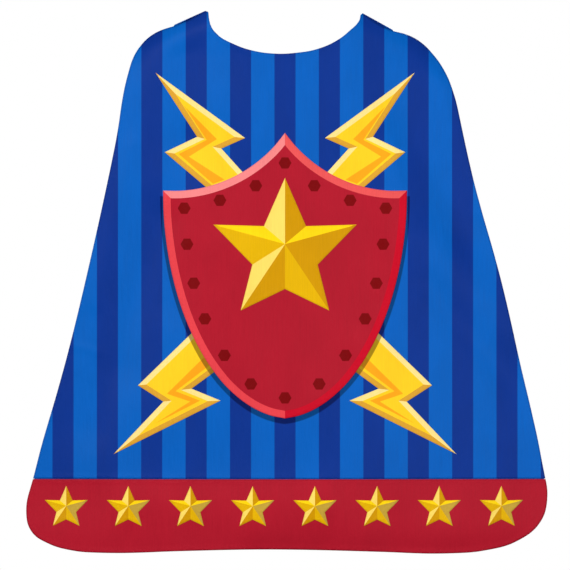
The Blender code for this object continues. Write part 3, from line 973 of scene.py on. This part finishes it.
def shield_patch():
    """The shield: a bevelled rim round a plain field with hexagonal studs printed on it."""
    rim = node_rim("shield_patch")
    corners = corners_of(rim)
    smooth = resampled(rim, PATCH_SPACING)
    inner = smooth + inward(smooth) * RIM_WIDTH * MM
    keep = np.ones(len(inner), bool)
    for corner in corners:
        near = np.linalg.norm(smooth - corner, axis=1)
        keep &= (near > 1.05 * RIM_WIDTH * MM) | (near < 0.00002)
    inner = inner[keep]
    studs = MIDDLE_STUDS + STUDS + [(-x, z) for x, z in STUDS]
    hexes = [hexagon(*centre) for centre in studs]

    def lines(ring):
        mitres = []
        for corner in corners:
            near = inner[np.linalg.norm(inner - corner, axis=1).argmin()]
            mitres.append((tuple(near), tuple(snapped(corner, ring))))
        return sides_of(inner) + mitres + [side for h in hexes for side in sides_of(h)]

    def ink(x, z):
        best = np.full(len(x), np.inf)
        shade = np.zeros((len(x), 3))
        closed = np.vstack([smooth, smooth[:1]])
        side_top = corners[np.abs(corners[:, 0]) > 0.05][:, 1].mean()
        for a, b in zip(closed, closed[1:]):
            away = distance_to_path(x, z, [a, b])
            nearer = away < best
            best = np.minimum(best, away)
            middle = (a + b) / 2
            on_top = a[0] > b[0] and middle[1] > side_top - 0.0005
            key = ("top_" if on_top else "") + ("left" if middle[0] < 0 else "right")
            shade[nearer] = RIM_TONES[key]
        shade[inside(x, z, inner)] = RED
        for h in hexes:
            shade[inside(x, z, h)] = STUD_RED
        return shade

    patch(
        "shield_patch_cloth", "shield_patch", SHIELD_LOW, SHIELD_HIGH, SHELL_FACE, lines, ink,
        "shield",
    )


def make_emblem():
    for side in ("left", "right"):
        bolt_patch(f"upper_{side}_bolt", UPPER_BAND)
        bolt_patch(f"lower_{side}_bolt", LOWER_BAND)
    shield_patch()
    centre = (STAR_CENTRE[0] * MM, STAR_CENTRE[1] * MM)
    star_patch(
        "centre_star_patch", centre, STAR_LOW, STAR_HIGH, SHIELD_HIGH, STAR_DARK,
        PATCH_SPACING,
    )
    for name in sorted(frame["nodes"]):
        if name.startswith("hem_star_patch"):
            rim = node_rim(name)
            top = rim[rim[:, 1].argmax()]
            centre = (top[0], top[1] - HEM_STAR_DROP * MM)
            star_patch(
                name, centre, BOLT_LOW, BOLT_HIGH, SHELL_FACE, STAR_TAN,
                HEM_STAR_SPACING,
            )


# The neck tabs


# Across the edge of a tab's outer layer: inset, and height out of the middle of the tab.
TAB_EDGE = [(1.7, 0.80), (1.2, 0.78), (0.6, 0.66), (0.16, 0.46), (0.0, 0.28), (0.12, 0.12), (0.5, 0.05),
            (1.1, 0.06), (1.5, 0.16), (1.3, 0.30), (1.4, 0.42), (1.7, 0.45)]
TAB_CUT = [(1.7, 0.80), (1.2, 0.80), (0.6, 0.80), (0.0, 0.80), (0.0, 0.74), (0.0, 0.68), (0.0, 0.62),
           (0.0, 0.56), (0.0, 0.50), (0.0, 0.45), (1.0, 0.45), (1.7, 0.45)]
TAPE_EDGE = [(0.9, 1.60), (0.5, 1.58), (0.2, 1.40), (0.0, 1.15), (0.0, 0.95), (0.2, 0.86), (0.9, 0.84)]
FOLD_CREASES = (0.0004, 0.0008, 0.0012, 0.0016, 0.0020, 0.0024, 0.0032)
CREASE_ENDS = (-0.024, 0.022)
ROOT_REACH = 0.0249  # a tab's root follows the body's edge this far from the fold's middle


class Tab:
    """A neck tab: its flat outline above its shoulder fold, and the way it lies turned over.

    A flat place is given by its distance towards the neck and its distance from the fold."""

    def __init__(self, side):
        self.side = side
        horn, kink = folds[side]
        self.middle = (horn + kink) / 2
        self.along = unit(horn - kink)
        self.up = np.array([-self.along[1], self.along[0]])
        self.up *= np.sign(self.up[1])
        ends = [np.array([x, back_depth(x, z) - FOLD_HEIGHT, z]) for x, z in folds[side]]
        self.centre = (ends[0] + ends[1]) / 2
        self.towards_neck = unit(ends[0] - ends[1])
        forward = np.array([0.0, 1.0, 0.0])
        self.forward = unit(forward - self.towards_neck * self.towards_neck[1])
        self.upward = np.cross(self.towards_neck, self.forward)
        self.upward *= np.sign(self.upward[2])

    def flat(self, along, away):
        """Where a flat place is cut, continuing the body's cloth above the fold."""
        return self.middle + np.multiply.outer(along, self.along) + np.multiply.outer(away, self.up)

    def place(self, x, z, out):
        """Flat points of the tab, at heights out of its middle, where they lie turned over."""
        offset = np.stack([x, z], axis=-1) - self.middle
        along, away = offset @ self.along, offset @ self.up
        roll = FOLD_RADIUS * math.pi / 2
        turned = np.clip(away / roll, 0, 1)
        angle = TAB_LEAVES - turned * math.radians(90)
        ahead = FOLD_RADIUS * (math.sin(TAB_LEAVES) - np.sin(angle))
        rise = FOLD_RADIUS * (np.cos(angle) - math.cos(TAB_LEAVES))
        past = np.maximum(away - roll, 0)
        bend = np.minimum(past / TAB_BEND_RADIUS, TAB_HANGS - TAB_LEAVES)
        lean = TAB_LEAVES + bend
        straight = past - bend * TAB_BEND_RADIUS
        bow = TAB_BEND_RADIUS * (np.sin(lean) - math.sin(TAB_LEAVES))
        ahead = ahead + bow + straight * np.cos(lean)
        bow = TAB_BEND_RADIUS * (math.cos(TAB_LEAVES) - np.cos(lean))
        drop = bow + straight * np.sin(lean) - rise
        # Straight back at the fold, as the body's layers are, and square to the cloth past it.
        facing = np.where(away < roll, math.pi / 2 - turned * math.radians(135), -lean)
        ahead = ahead - out * np.sin(facing)
        drop = drop - out * np.cos(facing)
        ripple = TAB_RIPPLE * np.sin(away / RIPPLE_AWAY + along / RIPPLE_ALONG)
        ahead = ahead + ripple * smooth_step(away / RIPPLE_GROWS)
        # Near the fold it follows the body's own edge.
        held = np.clip(along, -ROOT_REACH, ROOT_REACH)
        root = self.flat(held, np.zeros(len(held)))
        chord = self.centre + np.multiply.outer(held, self.towards_neck)
        shift = depth(root[:, 0], root[:, 1]) - FOLD_HEIGHT - chord[:, 1]
        shift = shift * (1 - smooth_step(away / TAB_SETTLES))
        points = self.centre + np.multiply.outer(along, self.towards_neck)
        points = points + np.multiply.outer(ahead, self.forward)
        points = points - np.multiply.outer(drop, self.upward)
        points[:, 1] += shift
        return points

    def outline(
        self, trim=0.0, start=0.0, end=TAB_LENGTH, half=TAB_HALF, root=True, corner=TAB_END_RADIUS
    ):
        """A band curving towards the neck. With a root, it widens to the whole of the shoulder."""
        steps = np.linspace(start, end - corner, max(3, round((end - start) / TAB_SPACING)))
        spread = 1 - smooth_step(steps / TAB_TAPER) if root else np.zeros(len(steps))
        outer = half + (TAB_ROOT_OUTER - half) * spread
        inner = half + (TAB_ROOT_INNER - half) * spread
        quarter = np.linspace(0, math.pi / 2, 9)[1:]
        bow = end - corner * (1 - np.sin(quarter))
        cut = half - corner * (1 - np.cos(quarter))
        away = np.concatenate([steps, bow, bow[::-1][1:], steps[::-1]])
        width = np.concatenate([-outer, -cut, cut[::-1][1:], inner[::-1]])
        centre, angle = TAB_CURVE - TAB_OFFSET, away / TAB_CURVE
        radius = TAB_CURVE - width + np.sign(width) * trim
        loop = self.flat(centre - radius * np.cos(angle), radius * np.sin(angle))
        # The first and last points are the ends of its straight side.
        gaps = round(np.linalg.norm(loop[0] - loop[-1]) / TAB_SPACING)
        share = np.linspace(0, 1, gaps + 1)[1:-1, None]
        loop = np.vstack([loop, loop[-1] * (1 - share) + loop[0] * share])
        return loop if area_of(loop) > 0 else loop[::-1]

    def creases(self):
        """Lines along the fold, close enough to round it."""
        return [tuple(self.flat(a, d) for a in CREASE_ENDS) for d in FOLD_CREASES]

    def bend(self):
        """Where the cloth starts to turn, just past its root, and where it turns with the tab."""
        along = np.linspace(-TAB_ROOT_OUTER, TAB_ROOT_INNER, 9) - TAB_OFFSET
        root = self.flat(along, np.zeros(9))
        x, z = self.flat(0.0, TAB_BLEND)
        reach = self.place(np.array([x]), np.array([z]), np.zeros(1))[0] - self.centre
        reach = unit(reach)
        sides = [
            self.place(root[:, 0], root[:, 1], np.full(9, out))
            for out in (-TAB_HALF_THICK, TAB_HALF_THICK)
        ]
        past = ((np.vstack(sides) - self.centre) @ reach).max() + 0.0002
        return [Vector(self.centre + at * reach) for at in (past, past + TAB_BLEND)]


def make_tab(side, shell_side):
    """A tab's shell, facing, interfacing and closure. shell_side says which face closes."""
    tab = Tab(side)
    body = f"{side}_tab"
    bend_start, bend_end = tab.bend()
    for layer, material, slot, sign in (
        ("shell", "stripes", "striped_shell", 1),
        ("facing", "lining", "lining", -1),
    ):
        name = f"{side}_tab_{layer}"
        loop = tab.outline(trim=0.0 if sign > 0 else 0.0003)
        at_fold = np.abs((loop - tab.middle) @ tab.up) < 0.0004
        profile = profile_of(at_fold.astype(int), [TAB_EDGE, TAB_CUT])
        if sign < 0:
            profile = profile[:, ::-1] * (1, -1)
        piece = cloth(name + "_cloth", loop, profile, tab.place, TAB_SPACING, tab.creases())
        dress(piece, material, name)
        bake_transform(piece)
    name = f"{side}_tab_interfacing"
    loop = tab.outline(
        trim=INTERFACING_TRIM, start=INTERFACING_START, end=TAB_LENGTH - INTERFACING_TRIM,
        root=False, corner=INTERFACING_CORNER,
    )
    profile = [(0.0004, 0.0001), (0.0, 0.0), (0.0004, -0.0001)]
    piece = cloth(name + "_cloth", loop, profile, tab.place, TAB_SPACING)
    dress(piece, "interfacing", name, body)
    make_closure(tab, shell_side, body)


def make_closure(tab, shell_side, body):
    """The touch-fastening patch sewn near the end of a tab."""
    kind, layer, side = ("loop", "shell", 1) if shell_side else ("hook", "facing", -1)
    end = TAB_LENGTH - CLOSURE_END
    loop = tab.outline(
        start=end - CLOSURE_SIZE[0], end=end, half=CLOSURE_SIZE[1] / 2, root=False,
        corner=CLOSURE_CORNER,
    )
    profile = np.array(TAPE_EDGE) * MM
    if side < 0:
        profile = profile[::-1] * (1, -1)
    piece = cloth(f"{kind}_patch_tape", loop, profile, tab.place, FINE_SPACING)
    dress(piece, kind, f"{kind}_patch", body)
    ends = stitch_line(loop + inward(loop) * STITCH_INSET)
    stitches(f"{kind}_patch_stitching", ends, tab.place, side * STITCH_HEIGHT, body)


def stitch_line(loop):
    """Flat ends of stitches round a loop, each shorter than its step."""
    closed = np.vstack([loop, loop[:1]])
    run = np.concatenate([[0], np.cumsum(np.linalg.norm(np.diff(closed, axis=0), axis=1))])
    at = np.linspace(0, run[-1], round(run[-1] / STITCH_STEP) + 1)
    x, z = (np.interp(at, run, closed[:, k]) for k in (0, 1))
    points = np.stack([x, z], axis=1)
    return [(a * 0.92 + b * 0.08, a * 0.08 + b * 0.92) for a, b in zip(points, points[1:])]


def stitches(name, ends, place, out, body):
    """Short lengths of thread that dive into the cloth at both ends, as one mesh."""
    verts, faces, marks = [], [], []
    share = np.array([0.0, 0.12, 0.5, 0.88, 1.0])
    lift = np.array([-0.6, 0.35, 0.7, 0.35, -0.6]) * STITCH_RADIUS * np.sign(out)
    thick = np.array([0.35, 0.85, 1.0, 0.85, 0.35]) * STITCH_RADIUS
    above = np.array([out * 1.5 + np.sign(out) * MM])
    for a, b in ends:
        flat = a + share[:, None] * (b - a)
        path = place(flat[:, 0], flat[:, 1], np.full(5, out) + lift)
        out_of = unit(place(flat[2:3, 0], flat[2:3, 1], above)[0] - path[2])
        ahead = unit(path[-1] - path[0])
        across = unit(np.cross(ahead, out_of))
        up = np.cross(across, ahead)
        first = len(verts)
        for number, centre in enumerate(path):
            for turn in np.arange(6) * math.pi / 3:
                aside = math.cos(turn) * across + math.sin(turn) * up
                verts.append(centre + thick[number] * aside)
                marks.append((flat[number][0], flat[number][1], turn * STITCH_RADIUS))
        for row in range(4):
            for k in range(6):
                p, q = first + row * 6 + k, first + row * 6 + (k + 1) % 6
                faces.append((p, q, q + 6, p + 6))
        faces.append(tuple(first + k for k in range(5, -1, -1)))
        faces.append(tuple(first + 24 + k for k in range(6)))
    mesh = bpy.data.meshes.new(name)
    mesh.from_pydata([tuple(v) for v in verts], [], faces)
    mesh.shade_smooth()
    mark(mesh, "flat", "FLOAT_VECTOR", "vector", marks)
    mark(mesh, "edge", "FLOAT", "value", np.full(len(verts), EDGE_FAR))
    mesh.materials.append(materials["tape_thread"])
    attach(add(name, mesh), body)


# The care label


LABEL_HALF, LABEL_TOP, LABEL_END = 0.013, -0.0019, -0.042
LABEL_HALF_THICK = 0.00016
# From its face, round its edge, to its back: inset and height, in metres.
LABEL_EDGE = [(0.0005, 0.00016), (0.0002, 0.00015), (0.0, 0.00004), (0.0, -0.00006),
              (0.0002, -0.00015), (0.0005, -0.00016)]


def label_place(x, z, out):
    """The label lies on the lining at its top and curls a little off it lower down."""
    down = (LABEL_TOP - z) / (LABEL_TOP - LABEL_END)
    off = 0.00012 + 0.0006 * smooth_step(down) + 0.0010 * down**2 * (1 + 0.6 * x / LABEL_HALF)
    return hang(x, z, -off - LABEL_HALF_THICK + out)


def make_label():
    """A blank label caught in the neckline seam."""
    corners = [
        (-LABEL_HALF, LABEL_END), (LABEL_HALF, LABEL_END),
        (LABEL_HALF, LABEL_TOP), (-LABEL_HALF, LABEL_TOP),
    ]
    loop = np.vstack([smooth_run(side, FINE_SPACING)[:-1] for side in sides_of(corners)])
    piece = cloth("care_label_tape", loop, LABEL_EDGE, label_place, FINE_SPACING)
    dress(piece, "label", "care_label", "cape_body")


make_body()
make_emblem()
for side in ("left", "right"):
    make_tab(side, side == "left")
make_label()


# Stage


def aim(obj, target):
    obj.rotation_euler = (Vector(target) - obj.location).to_track_quat("-Z", "Y").to_euler()


def area_light(name, place, target, size, power):
    light = bpy.data.lights.new(name, "AREA")
    light.shape = "DISK"
    light.size = size
    light.energy = power
    lamp = add(name, light)
    lamp.location = place
    aim(lamp, target)


# The camera is far off with a long lens, so that it sees the cape as flat as the photograph does.
MIDDLE = (0.0, 0.0, -0.299)
CAPE_FRONT = -0.01
VIEW_WIDTH = 0.736
LENS, SENSOR = 1600.0, 36.0
# Each light's name, its place, the place it points at, its size and its power.
LIGHTS = [
    ("key", (-2.0, -2.7, 1.2), (0.05, 0, -0.3), 1.0, 101),
    ("fill", (1.3, -1.7, -0.2), (0.25, 0, -0.35), 1.2, 24),
    ("back", (0.9, 2.4, 1.2), (0, 0, -0.3), 1.8, 60),
]
WORLD_LIGHT, WORLD_SEEN = 0.16, 1.0  # how bright the surroundings light things, and how they look
FLOOR_HALF, FLOOR_HEIGHT = 1.5, -0.78


def make_stage():
    camera = add("camera", bpy.data.cameras.new("camera"))
    camera.data.lens, camera.data.sensor_width = LENS, SENSOR
    camera.data.clip_end = 80.0
    camera.location = (MIDDLE[0], CAPE_FRONT - VIEW_WIDTH * LENS / SENSOR, MIDDLE[2])
    aim(camera, MIDDLE)
    bpy.context.scene.camera = camera
    for light in LIGHTS:
        area_light(*light)
    world = bpy.data.worlds.new("studio")
    bpy.context.scene.world = world
    world.use_nodes = True
    tree = world.node_tree
    path = tree.nodes.new("ShaderNodeLightPath")
    mixed = tree.nodes.new("ShaderNodeMixShader")
    tree.links.new(path.outputs["Is Camera Ray"], mixed.inputs[0])
    backs = (tree.nodes["Background"], tree.nodes.new("ShaderNodeBackground"))
    for socket, back, strength in zip(mixed.inputs[1:], backs, (WORLD_LIGHT, WORLD_SEEN)):
        back.inputs["Color"].default_value = (1.0, 1.0, 1.0, 1.0)
        back.inputs["Strength"].default_value = strength
        tree.links.new(back.outputs[0], socket)
    tree.links.new(mixed.outputs[0], tree.nodes["World Output"].inputs[0])
    bpy.context.scene.view_settings.view_transform = "Standard"


def make_floor():
    """A plain pale floor below the hem, out of the photograph's view. It throws no light up."""
    half, z = FLOOR_HALF, FLOOR_HEIGHT
    mesh = bpy.data.meshes.new("floor")
    corners = [(-half, -half, z), (half, -half, z), (half, half, z), (-half, half, z)]
    mesh.from_pydata(corners, [], [(0, 1, 2, 3)])
    material = bpy.data.materials.new("floor")
    material.use_nodes = True
    shader = material.node_tree.nodes["Principled BSDF"]
    shader.inputs["Base Color"].default_value = (0.4, 0.4, 0.395, 1.0)
    shader.inputs["Roughness"].default_value = 0.8
    shader.inputs["Emission Color"].default_value = (1.0, 1.0, 0.99, 1.0)
    shader.inputs["Emission Strength"].default_value = 0.5
    mesh.materials.append(material)
    floor = add("floor", mesh)
    floor.visible_diffuse = floor.visible_glossy = False


make_stage()
make_floor()
